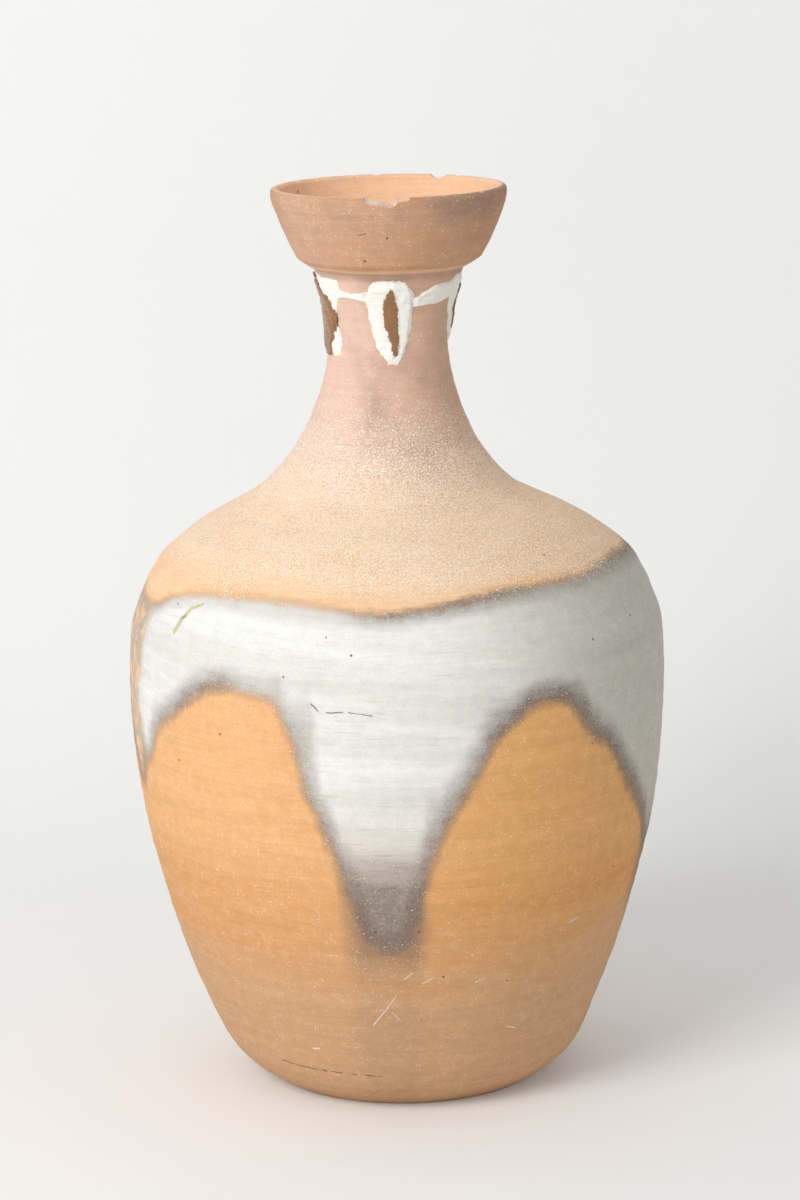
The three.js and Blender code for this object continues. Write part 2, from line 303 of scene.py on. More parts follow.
class Shader:
    """A material's node tree with one method that adds any node."""

    def __init__(self, name):
        self.material = bpy.data.materials.new(name)
        self.material.use_nodes = True
        self.nodes = self.material.node_tree.nodes
        self.links = self.material.node_tree.links
        self.surface = self.nodes["Principled BSDF"]

    def node(self, kind, settings=None, values=None, output=0):
        made = self.nodes.new(kind)
        for name, value in (settings or {}).items():
            if name == "curve":
                self._set_curve(made.mapping, value)
            else:
                setattr(made, name, value)
        for name, value in (values or {}).items():
            self.feed(made.inputs[name], value)
        return Socket(self, made.outputs[output])

    def _set_curve(self, mapping, points):
        curve = mapping.curves[0]
        curve.points[0].location = points[0]
        curve.points[1].location = points[-1]
        for point in points[1:-1]:
            curve.points.new(*point)
        mapping.update()

    def feed(self, socket, value):
        if isinstance(value, Socket):
            self.links.new(value.output, socket)
        elif socket.type == "RGBA":
            socket.default_value = (*value[:3], 1.0)
        else:
            socket.default_value = value

    def finish(self, **values):
        for name, value in values.items():
            self.feed(self.surface.inputs[name.replace("_", " ").title()], value)
        return self.material

    def place(self):
        return self.node("ShaderNodeTexCoord", output="Object")

    def axes(self, place):
        first = self.node("ShaderNodeSeparateXYZ", {}, {0: place})
        return first, first.other("Y"), first.other("Z")

    def mix(self, share, first, second):
        settings = {"data_type": "RGBA"}
        values = {0: share, MIX_FIRST: first, MIX_SECOND: second}
        return self.node("ShaderNodeMix", settings, values, output=MIX_RESULT)

    def shade(self, colour, amount):
        """The colour times a varying brightness."""
        grey = self.node("ShaderNodeCombineColor", {}, {0: amount, 1: amount, 2: amount})
        settings = {"data_type": "RGBA", "blend_type": "MULTIPLY"}
        values = {0: 1.0, MIX_FIRST: colour, MIX_SECOND: grey}
        return self.node("ShaderNodeMix", settings, values, output=MIX_RESULT)

    def ease(self, value, low, high):
        """0 below low, 1 above high, smooth between them."""
        settings = {"interpolation_type": "SMOOTHSTEP"}
        return self.node("ShaderNodeMapRange", settings, {0: value, 1: low, 2: high, 3: 0.0, 4: 1.0})

    def noise(self, place, scale, detail=3.0, roughness=0.55):
        values = {"Vector": place, "Scale": scale, "Detail": detail, "Roughness": roughness}
        return self.node("ShaderNodeTexNoise", {}, values)

    def cells(self, place, scale):
        return self.node("ShaderNodeTexVoronoi", {}, {"Vector": place, "Scale": scale})

    def red(self, colour):
        return self.node("ShaderNodeSeparateColor", {}, {0: colour})

    def vector(self, x, y, z):
        return self.node("ShaderNodeCombineXYZ", {}, {0: x, 1: y, 2: z})

    def around(self, degrees, points, most):
        """A value that follows (degrees from the back seam, value) points round the vase."""
        curve = [(angle / 360, value / most) for angle, value in points]
        return self.node("ShaderNodeFloatCurve", {"curve": curve}, {"Value": degrees / 360.0}) * most


# Upper edge of the grey fire mark: degrees round from the back seam, height in millimetres
FIRE_TOP = [
    (0, 262), (30, 266), (60, 263), (84, 258), (105, 252), (113, 254), (121, 260), (133, 264), (150, 265),
    (164, 263.5), (177, 261), (186, 263), (204, 267.5), (227, 269), (256, 271), (285, 266), (315, 258),
    (340, 257), (360, 262),
]
# Top edge of the orange tongues of flame below it, which meet at the foot of each grey point
FLAME_TOP = [
    (0, 214), (12, 203), (22, 176), (30, 138), (37, 105), (45, 135), (55, 188), (66, 214), (80, 221),
    (92, 205), (100, 170), (105, 160), (110, 172), (115, 180), (119, 194), (127, 207), (136, 219.5),
    (142, 223.5), (148, 222), (153, 219), (156, 209), (159.5, 195), (163.5, 158), (168.5, 122), (177, 96),
    (183, 112), (187, 143), (195.5, 181), (203, 207), (213.8, 217), (225, 197), (239, 163), (249, 142),
    (258, 120), (266, 140), (275, 186), (285, 212), (298, 222), (311, 208), (320, 165), (328, 112),
    (337, 130), (346, 180), (353, 205), (360, 214),
]
# How dark the smoke is along those two edges, from 0 to 1
TOP_SMOKE = [(0, 0.6), (60, 0.8), (100, 0.75), (114, 0.6), (125, 0.3), (160, 0.34), (176, 0.75), (200, 0.85),
             (225, 0.62), (240, 0.75), (300, 0.9), (360, 0.6)]
FLAME_SMOKE = [(0, 0.8), (90, 0.85), (112, 0.6), (124, 0.72), (138, 0.85), (148, 0.5), (158, 0.6),
               (172, 0.75), (186, 0.75), (196, 0.8), (214, 1.0), (228, 0.95), (250, 0.9),
               (300, 0.75), (360, 0.8)]

# The flame edge's slope is taken this many degrees to each side, which is this many millimetres in all
SLANT_DEGREES = 1.5
SLANT_RUN = 6.9

# Scratches and scuffs, pale: radius there, then start and end as (degrees from the front, height), width
SCRATCHES = [
    (110, (-1.8, 69), (-4.2, 62), 0.35),
    (108, (-4.4, 61.5), (-8, 52.5), 0.45),
    (108, (-2.8, 60), (-0.6, 55), 0.3),
    (113, (0.6, 79), (2.4, 82), 0.4),
    (112, (5.0, 76), (7.4, 79), 0.45),
    (112, (18.5, 74.5), (21, 76.5), 0.4),
    (104, (30, 46), (33, 44), 0.5),
    (120, (44, 98), (46.5, 99), 0.5),
    (100, (-27, 36), (-25, 36.6), 0.7),
]
# Cracks and cuts, dark
CRACKS = [
    (134, (-17.6, 219.4), (-16.2, 216.4), 0.5),
    (134, (-14.4, 215.8), (-11.0, 215.9), 0.35),
    (134, (-9.8, 216.0), (-5.0, 214.6), 0.3),
    (91, (-41, 24.6), (-24, 22.6), 0.35),
    (91, (-26, 23.4), (-7, 22.0), 0.4),
    (53, (-16, 431.6), (-8, 433.2), 0.25),
]
# Yellow-green run of kiln ash on the left shoulder
DRIP = [
    (126, (-49.0, 258.6), (-52.2, 255.6), 0.9),
    (126, (-52.2, 255.6), (-54.4, 250.4), 1.3),
    (127, (-54.6, 250.0), (-55.8, 243.6), 1.7),
]


def stroke(shader, degrees, height, radius, start, end, width):
    """1 on a straight mark between two (degrees from the front, height) places and 0 off it."""
    arc = math.radians(radius)
    across = (degrees - (FRONT + start[0])) * arc
    up = height - float(start[1])
    run, rise = (end[0] - start[0]) * arc, float(end[1] - start[1])
    squared = run * run + rise * rise
    share = ((across * (run / squared) + up * (rise / squared)).highest(0.0)).lowest(1.0)
    aside = across - share * run
    above = up - share * rise
    distance = (aside * aside + above * above).root()
    return 1.0 - shader.ease(distance, width * 0.45, width)


def strokes(shader, degrees, height, marks):
    """The strongest of several marks."""
    worn = None
    for mark in marks:
        drawn = stroke(shader, degrees, height, *mark)
        worn = drawn if worn is None else worn.highest(drawn)
    return worn


class Surface:
    """Where a point of the clay lies on the vase, and the noises that vary its colour."""

    def __init__(self, shader):
        place = shader.place()
        x, y, z = shader.axes(place)
        self.place = place
        self.x = x
        self.z = z
        self.height = z * 1000.0
        turn = shader.node("ShaderNodeMath", {"operation": "ARCTAN2"}, {0: x, 1: -y})
        self.degrees = turn * (180 / math.pi) + FRONT

        # Soft wandering of every edge, lines drawn out along the turning, and fine grain
        self.wander = shader.noise(place, 22.0, 4.0) - 0.5
        self.ragged = shader.noise(place, 150.0, 4.0, 0.65) - 0.5
        self.brushed = shader.noise(shader.vector(x * 50.0, y * 50.0, z * 800.0), 1.0, 3.0, 0.65)
        self.rings = shader.noise(shader.vector(x * 5.0, y * 5.0, z * 240.0), 1.0, 4.0, 0.6)
        self.bands = shader.noise(shader.vector(x * 5.0, y * 5.0, (z + x * 0.1) * 70.0), 1.0, 3.0, 0.6)
        self.patches = shader.noise(place, 9.0, 3.0)
        self.mottle = shader.noise(place, 170.0, 3.0, 0.6)
        self.grain = shader.noise(place, 950.0, 2.0, 0.7)
        self.specks = shader.noise(place, 1500.0, 1.0, 0.5)

        # Distance above the upper edge of the grey band and outside the flame below it
        drifting = self.degrees + self.wander * 6.0
        uneven = self.wander * 6.0 + self.ragged * 7.0 + (self.brushed - 0.5) * 4.0
        self.above = self.height - shader.around(drifting, FIRE_TOP, LIP) + uneven * 0.55
        self.flame = shader.around(drifting, FLAME_TOP, LIP)
        ahead = shader.around(drifting + SLANT_DEGREES, FLAME_TOP, LIP)
        behind = shader.around(drifting - SLANT_DEGREES, FLAME_TOP, LIP)
        slant = (ahead - behind) / SLANT_RUN
        self.outside = (self.height - self.flame) / (slant * slant + 1.0).root() + uneven * 0.8

        # Low on the body, inside the cup, and the sandy left end of the grey band, from 0 to 1
        self.low = 1.0 - shader.ease(self.height + self.bands * 60.0 + self.wander * 20.0, 88.0, 150.0)
        radius = (x * x + y * y).root() * 1000.0
        cup_side = (self.height - 418.0) * 0.4 + 46.9
        self.within = shader.ease(cup_side - radius, 2.2, 4.0)
        end = 1.0 - shader.ease(self.degrees + self.wander * 16.0, 107.0, 114.0)
        self.sandy = end * shader.ease(self.degrees, 78.0, 90.0)


def flame_clay(shader, at, tones):
    """Body clay that the flame licked, a little darker to the right with painted shade, deeper in strokes and
    in a belt, and brown near the foot.
    """
    # Painted shade: the right side takes a slightly darker copy of the flame orange
    to_right = shader.ease(at.x, -0.03, 0.05)
    colour = shader.mix(to_right, tones.orange_left, tones.orange_right)
    stroke_share = shader.ease(at.bands, 0.42, 0.66) * shader.ease(-at.height, -215.0, -70.0)
    colour = shader.mix(stroke_share * 0.55, colour, tones.deep)
    wavering = at.height + at.bands * 30.0
    belt = shader.ease(wavering, 84.0, 108.0) * (1.0 - shader.ease(wavering, 128.0, 160.0))
    colour = shader.mix(belt * 0.4, colour, tones.deep)
    return shader.mix(at.low * 0.92, colour, tones.foot)


def cup_clay(shader, at, tones, smudges):
    """Darker clay of the cup, smoky under the lip with painted shade away from the lit left side, and painted
    light that makes it bright inside.
    """
    colour = shader.mix(shader.ease(at.patches, 0.35, 0.65) * 0.4, tones.cup, tones.neck)
    colour = shader.mix(shader.ease(at.bands, 0.5, 0.7) * 0.3, colour, tones.deep)
    # Purple band under the lip, kept off the lit left side: smoke and painted shade together
    under_lip = shader.ease(at.height + at.wander * 16.0, 431.0, 441.0) * shader.ease(at.x, -0.036, -0.01)
    colour = shader.mix(under_lip * smudges * 0.62, colour, tones.smudge_and_shade)
    # Painted light: the inside of the cup is mixed to a lighter colour, as if lit by the lamp
    return shader.mix(at.within, colour, tones.inside)


def upper_clay(shader, at, tones):
    """Peach shoulder, paler neck with purple smudges and painted shade on its right side, the cup above the
    crease, and painted shade in the crease.
    """
    warmer = shader.ease(at.patches + at.wander, 0.36, 0.66) * 0.42
    peach = shader.mix(warmer, tones.shoulder, tones.orange_right)
    # Painted shade: the neck's right side is mixed halfway to the darker cup clay
    neck_tone = shader.mix(shader.ease(at.x, -0.03, 0.03) * 0.5, tones.neck, tones.cup)
    colour = shader.mix(shader.ease(at.height + at.wander * 40.0, 292.0, 330.0), peach, neck_tone)
    smudges = shader.ease(shader.noise(at.place, 26.0, 3.0), 0.4, 0.62)
    middle = 1.0 - shader.ease((at.x - 0.002).size(), 0.012, 0.03)
    on_neck = shader.ease(at.height, 306.0, 330.0) * middle
    colour = shader.mix(smudges * on_neck * 0.5, colour, tones.smudge_and_shade)
    above_crease = shader.ease(at.height, 409.0, 411.5)
    colour = shader.mix(above_crease, colour, cup_clay(shader, at, tones, smudges))
    # Painted shade: a darker purple line all round the crease under the cup
    crease_shade = 1.0 - shader.ease((at.height - 409.5).size(), 0.5, 4.5)
    return shader.mix(crease_shade * 0.45, colour, tones.smudge_and_shade)


def ash_grey(shader, at, tones):
    """Grey band, greener and darker to the right with painted shade, warmer at its points and sandy at its
    left end.
    """
    colour = shader.mix(shader.ease(at.bands, 0.35, 0.65) * 0.35, tones.ash, tones.ash_tone_and_shade)
    # Painted shade: the right side of the band turns to the darker side grey
    side = shader.ease(at.x + at.z * 0.2 + at.wander * 0.03, 0.055, 0.16)
    colour = shader.mix(side * 0.9, colour, tones.ash_tone_and_shade)
    pointed = 1.0 - shader.ease(at.height + at.bands * 40.0, 118.0, 205.0)
    colour = shader.mix(pointed * 0.85, colour, tones.ash_low)
    brushing = shader.ease(at.brushed, 0.52, 0.74) * (pointed * 0.4 + 0.22)
    colour = shader.mix(brushing, colour, tones.smoke)
    sand_tone = shader.mix(shader.ease(at.mottle, 0.48, 0.6), tones.sand, tones.orange_left)
    return shader.mix(at.sandy * 0.85, colour, sand_tone)


def lay_smoke(shader, at, tones, colour):
    """Smoke along both edges of the grey band, grainy and uneven, and pooled at its points."""
    grainy = (at.mottle - 0.5) * 1.1 + (at.grain - 0.5) * 1.3 + 1.0
    halo = shader.ease(at.outside, -6.0, 0.5) * (1.0 - shader.ease(at.outside, 1.0, 13.0))
    halo = halo * shader.ease(-at.above, 2.0, 14.0)
    halo = halo * shader.around(at.degrees, FLAME_SMOKE, 1.0) * grainy
    colour = shader.mix((halo * 0.85).lowest(0.9), colour, tones.smoke)
    top = (1.0 - shader.ease(at.above, -1.5, 2.6)) * (1.0 - shader.ease(-at.above, 0.5, 10.0))
    top = top * shader.around(at.degrees, TOP_SMOKE, 1.0) * grainy * (1.0 - at.sandy * 0.6)
    colour = shader.mix((top * 0.9).lowest(0.9), colour, tones.smoke)
    valley = 1.0 - shader.ease(at.flame, 104.0, 152.0)
    pooled = valley * shader.ease(at.height + at.bands * 24.0, 84.0, 118.0)
    pooled = pooled * (1.0 - shader.ease(at.height + at.bands * 30.0, 134.0, 172.0))
    colour = shader.mix((pooled * grainy * 0.8).lowest(0.85), colour, tones.smoke)
    return shader.mix(valley * at.low * 0.14, colour, tones.smoke)


def burnt_pits(shader, at):
    """1 in a pit and 0 elsewhere: small pits all over, and larger scorched ones on the lip."""
    hollows = shader.cells(at.place, 95.0)
    chosen = shader.ease(shader.red(hollows.other("Color")), 0.8, 0.84)
    pits = (1.0 - shader.ease(hollows, 0.035, 0.075)) * chosen
    scorch = shader.cells(at.place, 70.0)
    burnt = shader.ease(shader.red(scorch.other("Color")), 0.62, 0.66)
    spots = 1.0 - shader.ease(scorch + at.ragged * 0.12, 0.05, 0.13)
    return pits.highest(spots * burnt * shader.ease(at.height, 443.0, 446.0))


def clay_material(tones):
    """Matt fired clay: orange where the flame licked, grey and smoky where it didn't, gritty all over."""
    shader = Shader("fired_clay")
    at = Surface(shader)
    orange = flame_clay(shader, at, tones)
    peach = upper_clay(shader, at, tones)
    grey = ash_grey(shader, at, tones)
    band = shader.ease(-at.above, -1.0, 4.0) * shader.ease(at.outside, -3.0, 4.0)
    colour = shader.mix(shader.ease(at.above, -5.0, 5.0), orange, peach)
    colour = shader.mix(band, colour, grey)
    colour = lay_smoke(shader, at, tones, colour)

    # Turning lines and mottle, then white grit, thickest on the shoulder
    lines = (at.rings - 0.5) * 0.2 + (at.brushed - 0.5) * 0.24
    colour = shader.shade(colour, lines + (at.mottle - 0.5) * 0.2 + (at.grain - 0.5) * 0.26 + 1.0)
    thickest = shader.ease(at.height + at.wander * 30.0, 262.0, 276.0)
    thickest = thickest * (1.0 - shader.ease(at.height, 312.0, 360.0)) * 0.16
    grit = shader.ease(at.specks + thickest, 0.63, 0.71) * shader.ease(at.mottle + thickest * 2.0, 0.42, 0.6)
    grit = grit * (1.0 - at.within * 0.7)
    colour = shader.mix(grit * 0.8, colour, tones.grit)

    # Pits, scratches, cracks and the run of kiln ash
    pits = burnt_pits(shader, at)
    colour = shader.mix(pits * 0.85, colour, tones.pit)
    scratched = strokes(shader, at.degrees, at.height, SCRATCHES)
    colour = shader.mix(scratched * (at.grain * 0.8 + 0.2), colour, tones.grit)
    cracked = strokes(shader, at.degrees, at.height + at.ragged * 1.6, CRACKS)
    cracked = cracked * shader.ease(shader.noise(at.place, 240.0, 2.0), 0.36, 0.5)
    colour = shader.mix(cracked * 0.7, colour, tones.pit)
    run = strokes(shader, at.degrees + at.ragged * 1.2, at.height, DRIP)
    core = shader.ease(at.height, 249.0, 251.5) * (1.0 - shader.ease(at.height, 251.5, 253.0))
    colour = shader.mix(run * 0.8, colour, shader.mix(core, tones.ash_run, tones.ash_core))

    relief = at.rings * 0.35 + at.brushed * 0.3 + at.mottle * 0.25 + at.grain * 0.3 + grit * 0.25 + run * 0.8
    relief = relief - pits * 1.6 - cracked * 1.6 - scratched * 0.3
    bump = shader.node("ShaderNodeBump", {}, {"Strength": 0.6, "Distance": 0.0006, "Height": relief})
    rough = at.grain * 0.12 + 0.8 - run * 0.35
    return shader.finish(base_color=colour, roughness=rough, normal=bump)


def broken_material(tones):
    """Pale broken clay inside the chips."""
    shader = Shader("broken_clay")
    place = shader.place()
    lumps = shader.noise(place, 420.0, 4.0, 0.7)
    colour = shader.mix(shader.ease(lumps, 0.35, 0.65), tones.neck, tones.broken)
    bump = shader.node("ShaderNodeBump", {}, {"Strength": 0.9, "Distance": 0.0008, "Height": lumps})
    return shader.finish(base_color=colour, roughness=0.92, normal=bump)


def putty_material(tones):
    """Chalky lime putty, yellow where the resin has bled into it."""
    shader = Shader("lime_putty")
    place = shader.place()
    stained = shader.node("ShaderNodeAttribute", {"attribute_name": "stain"}, output="Fac")
    smears = shader.noise(place, 300.0, 4.0, 0.65)
    crumbs = shader.noise(place, 1200.0, 3.0, 0.7)
    colour = shader.mix(shader.ease(smears, 0.5, 0.72) * 0.7, tones.putty, tones.putty_shade)
    stain = shader.ease(stained + (smears - 0.5) * 0.9, 0.42, 0.85)
    colour = shader.mix(stain * 0.75, colour, tones.stain)
    dirt = shader.ease(crumbs, 0.68, 0.74)
    colour = shader.mix(dirt * 0.3, colour, tones.stain)
    relief = smears * 0.9 + crumbs * 0.25
    bump = shader.node("ShaderNodeBump", {}, {"Strength": 0.8, "Distance": 0.0009, "Height": relief})
    return shader.finish(base_color=colour, roughness=0.84, normal=bump)


def resin_material(tones):
    """Dark tree resin, glassy where thick and amber at its torn edges."""
    shader = Shader("resin")
    place = shader.place()
    edge = shader.node("ShaderNodeAttribute", {"attribute_name": "stain"}, output="Fac")
    lumps = shader.noise(place, 260.0, 5.0, 0.65)
    x, y, z = shader.axes(place)
    drawn = shader.noise(shader.vector(x * 500.0, y * 500.0, z * 110.0), 1.0, 3.0, 0.6)
    colour = shader.mix(shader.ease(lumps, 0.46, 0.66), tones.resin, tones.resin_thin)
    colour = shader.mix(shader.ease(drawn, 0.6, 0.7) * 0.75, colour, tones.amber)
    amber = shader.ease(edge + (lumps - 0.5) * 0.9, 0.5, 0.95)
    colour = shader.mix(amber, colour, tones.amber)
    crust = shader.ease(shader.noise(place, 900.0, 3.0, 0.6), 0.66, 0.72)
    colour = shader.mix(crust * 0.55, colour, tones.crust)
    relief = lumps + drawn * 0.4
    bump = shader.node("ShaderNodeBump", {}, {"Strength": 1.0, "Distance": 0.0012, "Height": relief})
    return shader.finish(base_color=colour, roughness=lumps * 0.4 + 0.14, normal=bump)


def plaster_material(studio):
    """A plain pale floor and backdrop that keep soft shadows."""
    shader = Shader("plain_backdrop")
    place = shader.place()
    clouds = shader.noise(place, 2.2, 3.0)
    base = shader.shade(tuple(studio.floor), clouds * 0.05 + 0.97)
    seen = shader.node("ShaderNodeLightPath")
    direct = seen.highest(seen.other("Is Glossy Ray")).highest(seen.other("Is Transmission Ray"))
    shader.surface.inputs["Emission Strength"].default_value = 1.0
    glow = shader.shade(base, direct * studio.glow)
    return shader.finish(base_color=base, roughness=0.95, emission_color=glow)


def material_of(name, build, tones):
    """The finished material of that name, made the first time it is needed."""
    return bpy.data.materials.get(name) or build(tones)


def clear_selection():
    if bpy.context.mode != "OBJECT":
        bpy.ops.object.mode_set(mode="OBJECT")
    bpy.ops.object.select_all(action="DESELECT")


def start_point(name, radius, height):
    """A new mesh of a single vertex at the start of a profile, left in edit mode."""
    clear_selection()
    bpy.ops.mesh.primitive_plane_add(size=0.001, location=(0, 0, 0))
    piece = bpy.context.object
    piece.name = name
    piece.data.name = name
    bpy.ops.object.mode_set(mode="EDIT")
    bpy.ops.mesh.merge(type="CENTER")
    bpy.ops.transform.translate(value=(radius * MM, 0, height * MM))
    return piece


def spin_profile(name, points, steps):
    """Draws a profile by extruding a vertex along (radius, height) points and spins it round the axis."""
    piece = start_point(name, *points[0])
    for (r0, z0), (r1, z1) in zip(points, points[1:]):
        move = ((r1 - r0) * MM, 0, (z1 - z0) * MM)
        bpy.ops.mesh.extrude_vertices_move(TRANSFORM_OT_translate={"value": move})
    bpy.ops.mesh.select_all(action="SELECT")
    bpy.ops.mesh.spin(steps=steps, angle=math.tau, center=(0, 0, 0), axis=(0, 0, 1))
    bpy.ops.mesh.select_all(action="SELECT")
    bpy.ops.mesh.remove_doubles(threshold=2e-6)
    bpy.ops.mesh.normals_make_consistent(inside=False)
    bpy.ops.object.mode_set(mode="OBJECT")
    return piece


def shape_by_hand(piece, sizes, relief_of):
    """Moves each turned vertex to where the potter's hand and the kiln left it."""
    mesh = piece.data
    for vertex in mesh.vertices:
        x, y, z = vertex.co
        radius = math.hypot(x, y) / MM
        if radius < 0.01:
            vertex.co = clay_point(sizes, 0.0, 0.0, z / MM, 0.0)
            continue
        angle = math.degrees(math.atan2(x, -y))
        vertex.co = clay_point(sizes, radius, angle, z / MM, relief_of(z / MM))
    mesh.update()


def smooth_faces(piece, degrees):
    clear_selection()
    piece.select_set(True)
    bpy.context.view_layer.objects.active = piece
    bpy.ops.object.shade_smooth_by_angle(angle=math.radians(degrees))


def climb(low, high, pitch):
    count = max(1, round((high - low) / pitch))
    return [low + (high - low) * i / count for i in range(count + 1)]


def settle(piece, material, node):
    """Gives a finished piece its material and its place in the frame."""
    piece.data.materials.clear()
    piece.data.materials.append(material)
    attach(piece, "root")
    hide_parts(node)


def throw_section(settings, name):
    """Turns one section of the wall between two luted joins."""
    sizes = settings.throwing
    wall = sizes.wall / MM
    low, high = SECTIONS[name]
    outside = [(BODY.at(z), z) for z in climb(low, high, sizes.ring_pitch / MM)]
    if low == 0.0:
        points = [(r, 0.0) for r in UNDERSIDE] + outside + [(0.0, high)]
    else:
        inside = [(inner_radius(z, wall), z) for z in reversed(climb(low, high, INSIDE_PITCH))]
        points = outside + inside + [outside[0]]
    piece = spin_profile(name + "_fired", points, sizes.facets)
    shape_by_hand(piece, sizes, lambda z: smooth_step(0.0, TRUE_FOOT, z))
    smooth_faces(piece, CLAY_CREASE)
    settle(piece, material_of("fired_clay", clay_material, settings.clay), name)


def cup_profile(sizes):
    """Keel, flaring side with two fine grooves under the lip, rounded lip, inside and throat."""
    wall = sizes.lip / MM
    lip_radius = wall / 2
    crease = (BODY.at(CREASE), CREASE)
    points = [crease, (39.0, 411.1), (42.0, 413.0), (44.4, 414.6), (45.6, 415.5)]
    for z in climb(416.3, 447.0, 0.7):
        groove = 0.3 * math.exp(-((z - 443.2) / 0.5) ** 2) + 0.22 * math.exp(-((z - 440.4) / 0.45) ** 2)
        points.append((CUP.at(z) - groove, z))
    centre = RIM_RADIUS - lip_radius
    for degrees in range(15, 181, 15):
        turn = math.radians(degrees)
        points.append((centre + lip_radius * math.cos(turn), LIP - lip_radius + lip_radius * math.sin(turn)))
    points += [(CUP.at(z) - wall - 0.4, z) for z in reversed(climb(428.0, 445.0, 2.0))]
    points += [(44.0, 424.5), (40.5, 420.5), (36.0, 417.6), (32.0, 415.8), (29.5, 413.4)]
    return points + [(inner_radius(CREASE, sizes.wall / MM), CREASE), crease]


# Lumps broken from the lip: angle, width, depth below the crest, reach inwards, distance from the axis
CHIPS = [
    (-2.2, 20.0, 4.3, 6.5, 58.8),
    (-9.4, 9.0, 2.4, 5.0, 59.0),
    (0.6, 8.0, 5.0, 6.0, 58.4),
    (6.2, 8.0, 2.6, 4.4, 58.2),
    (153.0, 9.0, 2.6, 4.8, 56.5),
    (141.0, 4.5, 1.3, 3.0, 57.0),
    (186.0, 7.0, 0.9, 3.0, 57.0),
    (222.0, 5.0, 1.4, 3.0, 54.5),
    (236.0, 5.0, 1.2, 2.6, 54.5),
    (28.0, 3.0, 0.8, 1.6, 58.0),
    (52.0, 4.0, 0.9, 1.8, 57.6),
]


def chip_cutter(index, angle, width, depth, reach, radius):
    """A rough lump that stands where clay has broken away."""
    clear_selection()
    bpy.ops.mesh.primitive_ico_sphere_add(subdivisions=4, radius=1.0, location=(0, 0, 0))
    cutter = bpy.context.object
    turn = math.radians(angle)
    for vertex in cutter.data.vertices:
        x, y, z = vertex.co
        rough = 1 + 0.3 * noise.noise(Vector((x * 1.7 + index * 3, y * 1.7, z * 1.7)))
        rough += 0.14 * noise.noise(Vector((x * 6 + index, y * 6, z * 6)))
        along, up = x * rough * width / 2, z * rough * depth
        out = radius - y * rough * reach
        vertex.co = (
            (out * math.sin(turn) + along * math.cos(turn) + AXIS.at(LIP)) * MM,
            (-out * math.cos(turn) + along * math.sin(turn)) * MM,
            (LIP + 0.3 + up) * MM,
        )
    return cutter


def bite(piece, cutter, material):
    """Cuts one lump out of a piece. The cut face shows the lump's own material."""
    cutter.data.materials.append(material)
    clear_selection()
    bpy.context.view_layer.objects.active = piece
    cut = piece.modifiers.new("bite", "BOOLEAN")
    cut.operation = "DIFFERENCE"
    cut.solver = "EXACT"
    cut.material_mode = "TRANSFER"
    cut.object = cutter
    bpy.ops.object.modifier_apply(modifier=cut.name)
    bpy.data.objects.remove(cutter)


def throw_cup(settings):
    """Turns the cup and breaks the chips from its lip."""
    piece = spin_profile("cup_mouth_fired", cup_profile(settings.throwing), settings.throwing.facets)
    shape_by_hand(piece, settings.throwing, lambda z: 1.0 - 0.4 * smooth_step(410, 414, z))
    settle(piece, material_of("fired_clay", clay_material, settings.clay), "cup_mouth")
    broken = material_of("broken_clay", broken_material, settings.clay)
    whole = len(piece.data.vertices)
    for index, chip in enumerate(CHIPS):
        bite(piece, chip_cutter(index, *chip), broken)
    if len(piece.data.vertices) == whole:
        raise RuntimeError("No chip was cut from the lip")
    smooth_faces(piece, CLAY_CREASE)


# Edges of the putty and the resin: (drop below the crease in millimetres, degrees from the front)
PUTTY = {
    "front": (
        [(1.8, -8), (3.6, -15.5), (11, -22.8), (16.5, -20.2), (26, -17.2), (35.5, -11.8),
         (41, -6.8), (45, 1)],
        [(1.8, 4), (3.6, 13), (8.5, 21.8), (20, 23.5), (33, 19.8), (41.8, 12.8), (45, 6)],
    ),
    "right": (
        [(2, 66), (13, 65.5), (20, 70), (31.5, 79.5), (38, 86)],
        [(2, 101), (12, 108), (24, 108), (33, 102), (38, 95)],
    ),
    "back": (
        [(2, 169), (11, 159), (24, 161), (34, 167), (42, 174)],
        [(2, 191), (10, 201), (21, 202), (34, 196), (42, 184)],
    ),
    "left": (
        [(1.5, 262), (10, 252), (24, 250), (34, 256), (42, 266)],
        [(1.5, 290), (3.5, 314), (8, 316), (16, 307), (24, 305), (33, 311), (42, 310)],
    ),
}
RESIN = {
    "front": (
        [(6.4, 0), (9.5, -2.6), (14, -5.4), (19, -6), (25, -4), (30, 0), (35, 2.4), (41, 3.6)],
        [(6.4, 1.8), (9.5, 4.6), (14, 7), (19, 8.6), (25, 8.8), (30, 9.2), (35, 9.6), (41, 7.2)],
    ),
    "right": (
        [(7, 89), (16, 88), (25, 89), (33, 93)],
        [(7, 98), (16, 103), (25, 103), (33, 97)],
    ),
    "back": (
        [(7, 177), (16, 173), (26, 175), (36, 179)],
        [(7, 184), (16, 187), (26, 187), (36, 182)],
    ),
    "left": (
        [(1.8, 268), (15, 262), (26, 262), (38, 272), (41, 280)],
        [(1.8, 277), (9.5, 290), (15.5, 303), (23.5, 307), (32, 303), (41, 292)],
    ),
}
STRANDS = {
    "front_to_right": ("front", "right", (12.5, 9, 5.5, 5.5, 3.5), (16.5, 16, 16, 15, 13.5)),
    "right_to_back": ("right", "back", (9, 7, 6.5, 8, 10), (14, 12.5, 12, 13, 15)),
    "back_to_left": ("back", "left", (10, 9, 8.5, 8, 8), (15, 14, 13, 13, 13.5)),
    "left_to_front": ("left", "front", (8, 8.6, 9.4, 8.8, 8), (13, 12.2, 12.2, 12.8, 13.4)),
}


# Degrees that a strand reaches under the patches at its ends
STRAND_TUCK = 2.5
# The resin's stain in the putty fades out between these distances from it, in millimetres
STAIN_FADE = (0.3, 2.4)
